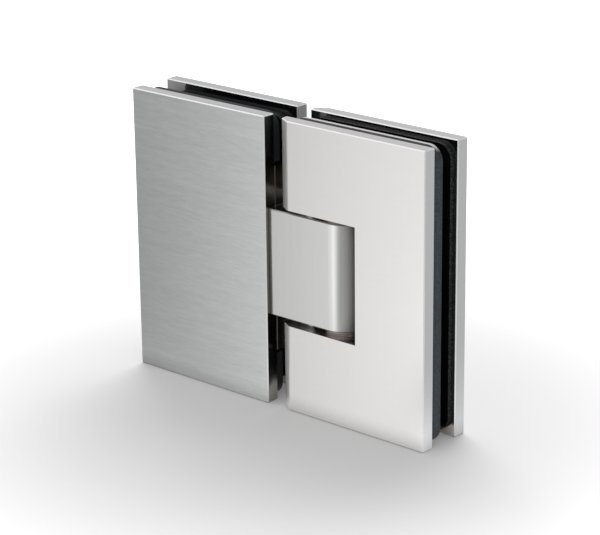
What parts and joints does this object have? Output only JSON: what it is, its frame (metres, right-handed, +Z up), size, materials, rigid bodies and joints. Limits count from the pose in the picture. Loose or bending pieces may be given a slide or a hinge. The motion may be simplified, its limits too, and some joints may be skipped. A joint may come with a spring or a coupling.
{
  "type": "shower door hinge",
  "caption": "Glass-to-glass shower door hinge with flat clamping plates, rubber gaskets and a round-ended knuckle that turns on a vertical pin.",
  "frame": {"origin": "on the plane of the lower edges, under the middle of the closed hinge", "axes": "+X from the fixed wing towards the door wing, +Y from the front plates to the back plates, +Z up along the pin"},
  "size_m": [0.1134, 0.0196, 0.09],
  "materials": {
    "brushed_plate": "brushed along the plates",
    "body_metal": "satin, brushed upwards",
    "carrier_metal": "milled",
    "gasket_rubber": "smooth sheet",
    "screw_steel": "turned",
    "pin_steel": "ground",
    "spring_steel": "drawn square wire",
    "bush_bronze": "sintered",
    "washer_steel": "stamped"
  },
  "bodies": {
    "fixed_wing": {"fixed_front_plate": "brushed_plate", "fixed_back_plate": "brushed_plate", "fixed_front_gasket": "gasket_rubber", "fixed_front_thin_gasket": "gasket_rubber", "fixed_back_gasket": "gasket_rubber", "fixed_back_thin_gasket": "gasket_rubber", "hinge_body": "body_metal", "fixed_clamp_screws": "screw_steel", "body_screws": "screw_steel", "upper_bush": "bush_bronze", "lower_bush": "bush_bronze", "detent_spring": "spring_steel", "detent_plug": "screw_steel"},
    "door_wing": {"door_front_plate": "brushed_plate", "door_back_plate": "brushed_plate", "door_front_gasket": "gasket_rubber", "door_first_thin_gasket": "gasket_rubber", "door_second_thin_gasket": "gasket_rubber", "door_back_gasket": "gasket_rubber", "pin_carrier": "carrier_metal", "pivot_pin": "pin_steel", "upper_thrust_washer": "washer_steel", "lower_thrust_washer": "washer_steel", "pin_set_screws": "screw_steel", "door_clamp_screws": "screw_steel", "carrier_screws": "screw_steel"},
    "plunger": {"detent_plunger": "pin_steel"}
  },
  "joints": [
    {"name": "door_swing", "type": "hinge", "parent": "fixed_wing", "child": "door_wing", "pos_m": [0.02025, 0, 0.045], "axis": [0, 0, 1], "range_deg": [-90, 90]},
    {"name": "plunger_slide", "type": "slide", "parent": "fixed_wing", "child": "plunger", "axis": [-1, 0, 0], "range_m": [0, 0.0007], "stiffness_N_per_m": 8000, "springref_m": -0.003, "deforming": ["detent_spring"]}
  ]
}
